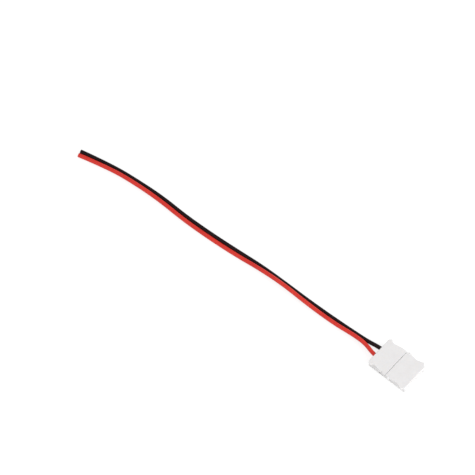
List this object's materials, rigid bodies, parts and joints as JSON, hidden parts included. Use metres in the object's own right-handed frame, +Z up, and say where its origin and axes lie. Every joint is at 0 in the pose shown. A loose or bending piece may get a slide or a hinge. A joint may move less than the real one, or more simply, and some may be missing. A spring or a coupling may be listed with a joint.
{
  "type": "led strip connector",
  "caption": "Snap-lid connector for a 10 mm light strip, with spring contacts under a hinged lid and a short red and black wire pair.",
  "frame": {"origin": "bottom centre of the housing, without the lead", "axes": "+X along the housing towards the strip end, +Z up, the lead leaves at -X"},
  "size_m": [0.1687, 0.0186, 0.0042],
  "materials": {
    "white_plastic": "satin moulded",
    "contact_brass": "tinned spring brass",
    "copper": "bare stranded copper",
    "red_insulation": "semi-gloss PVC",
    "black_insulation": "semi-gloss PVC"
  },
  "bodies": {
    "housing": {"base_housing": "white_plastic", "rear_cover": "white_plastic", "contact_red": "contact_brass", "contact_black": "contact_brass", "strands_red": "copper", "strands_black": "copper", "lead_red": "red_insulation", "lead_black": "black_insulation"},
    "lid": {"clamp_lid": "white_plastic"}
  },
  "joints": [
    {"name": "lid_hinge", "type": "hinge", "parent": "housing", "child": "lid", "pos_m": [0.001, 0, 0.00345], "axis": [0, -1, 0], "range_deg": [0, 100]}
  ]
}
